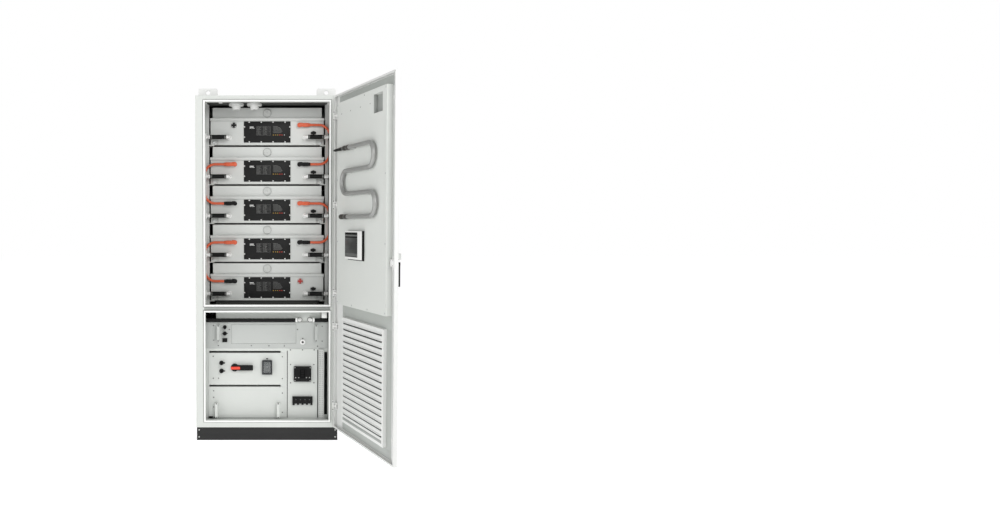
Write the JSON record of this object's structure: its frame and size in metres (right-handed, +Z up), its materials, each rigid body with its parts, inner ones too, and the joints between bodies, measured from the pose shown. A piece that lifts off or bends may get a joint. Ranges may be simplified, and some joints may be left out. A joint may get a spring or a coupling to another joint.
{
  "type": "battery energy storage cabinet",
  "caption": "Floor-standing battery cabinet with stacked liquid-cooled packs, orange high-voltage leads, a control bay below and one full-height door with a coolant pipe and a display.",
  "frame": {"origin": "centre of the footprint on the floor, on the underside of the plinth's middle beam", "axes": "+X to the right seen from the front, the front faces -Y, +Z up; the door rests open at 105.8 degrees"},
  "size_m": [1.2317, 2.2363, 2.3783],
  "materials": {
    "grey_coat": "light grey textured powder coat",
    "inner_coat": "light grey smooth coat",
    "plinth_coat": "dark anthracite coat",
    "pack_case": "satin, clear coated",
    "pack_lid": "light grey smooth coat",
    "black_plastic": "fine grain",
    "grey_plastic": "smooth",
    "orange_lead": "matt cable jacket",
    "black_rubber": "matt",
    "zinc": "zinc plated",
    "clear_cover": "clear, slightly smoky",
    "pipe_metal": "satin",
    "screen_housing": "dark, smooth"
  },
  "bodies": {
    "cabinet": {"plinth": "plinth_coat", "front_frame": "inner_coat", "bay_divider": "inner_coat", "pack_rail_left": "inner_coat", "pack_rail_right": "inner_coat", "control_box": "inner_coat", "unit_frame": "inner_coat", "disconnect_unit": "inner_coat", "blank_unit": "inner_coat", "column_panel": "inner_coat", "side_panel_left": "grey_coat", "side_panel_right": "grey_coat", "rear_panel": "grey_coat", "roof_panel": "grey_coat", "lifting_lug_front_left": "grey_coat", "lifting_lug_front_right": "grey_coat", "lifting_lug_rear_left": "grey_coat", "lifting_lug_rear_right": "grey_coat", "pack_1_tray": "pack_case", "pack_2_tray": "pack_case", "pack_3_tray": "pack_case", "pack_4_tray": "pack_case", "pack_5_tray": "pack_case", "pack_1_lid": "pack_lid", "pack_2_lid": "pack_lid", "pack_3_lid": "pack_lid", "pack_4_lid": "pack_lid", "pack_5_lid": "pack_lid", "pack_1_cover": "black_plastic", "pack_2_cover": "black_plastic", "pack_3_cover": "black_plastic", "pack_4_cover": "black_plastic", "pack_5_cover": "black_plastic", "breaker": "black_plastic", "hv_lead_1_2": "orange_lead", "hv_lead_2_3": "orange_lead", "hv_lead_3_4": "orange_lead", "hv_lead_4_5": "orange_lead", "coolant_set_left": "black_rubber", "coolant_set_right": "black_rubber", "cable_gland_1": "zinc", "cable_gland_2": "zinc", "hinge_1": "zinc", "hinge_2": "zinc", "hinge_3": "zinc", "hinge_4": "zinc", "hinge_5": "zinc", "wiring_duct": "grey_plastic"},
    "door": {"door_shell": "grey_coat", "door_inner_panel": "inner_coat", "door_louvre": "inner_coat", "door_pipe": "pipe_metal", "door_display": "screen_housing", "handle_base": "grey_coat"},
    "lock_cam": {"lock_cam": "zinc"},
    "handle_lever": {"handle_lever": "black_plastic"},
    "lock_rod_upper": {"lock_rod_upper": "zinc"},
    "lock_rod_lower": {"lock_rod_lower": "zinc"},
    "rotary_handle": {"rotary_handle": "black_plastic"},
    "flip_cover": {"flip_cover": "clear_cover"}
  },
  "joints": [
    {"name": "door_hinge", "type": "hinge", "parent": "cabinet", "child": "door", "pos_m": [0.4635, -0.675, 1.204], "axis": [0, 0, 1], "range_deg": [-105.8, 14.2]},
    {"name": "handle_turn", "type": "hinge", "parent": "door", "child": "lock_cam", "pos_m": [0.71114, -1.55014, 1.244], "axis": [0.9622, 0.2723, 0], "range_deg": [0, 90]},
    {"name": "handle_lift", "type": "hinge", "parent": "lock_cam", "child": "handle_lever", "pos_m": [0.73837, -1.54243, 1.244], "axis": [0.2723, -0.9622, 0], "range_deg": [0, 30]},
    {"name": "upper_rod_slide", "type": "slide", "parent": "door", "child": "lock_rod_upper", "axis": [0, 0, -1], "range_m": [0, 0.0181]},
    {"name": "lower_rod_slide", "type": "slide", "parent": "door", "child": "lock_rod_lower", "axis": [0, 0, 1], "range_m": [0, 0.0181]},
    {"name": "rotary_turn", "type": "hinge", "parent": "cabinet", "child": "rotary_handle", "pos_m": [-0.221, -0.6, 0.4862], "axis": [0, -1, 0], "range_deg": [0, 90]},
    {"name": "flip_cover_hinge", "type": "hinge", "parent": "cabinet", "child": "flip_cover", "pos_m": [0, -0.591, 0.5382], "axis": [-1, 0, 0], "range_deg": [0, 85]}
  ],
  "couplings": [
    {"joint": "upper_rod_slide", "follows": "handle_turn", "m_per_rad": 0.011459},
    {"joint": "lower_rod_slide", "follows": "handle_turn", "m_per_rad": 0.011459}
  ]
}
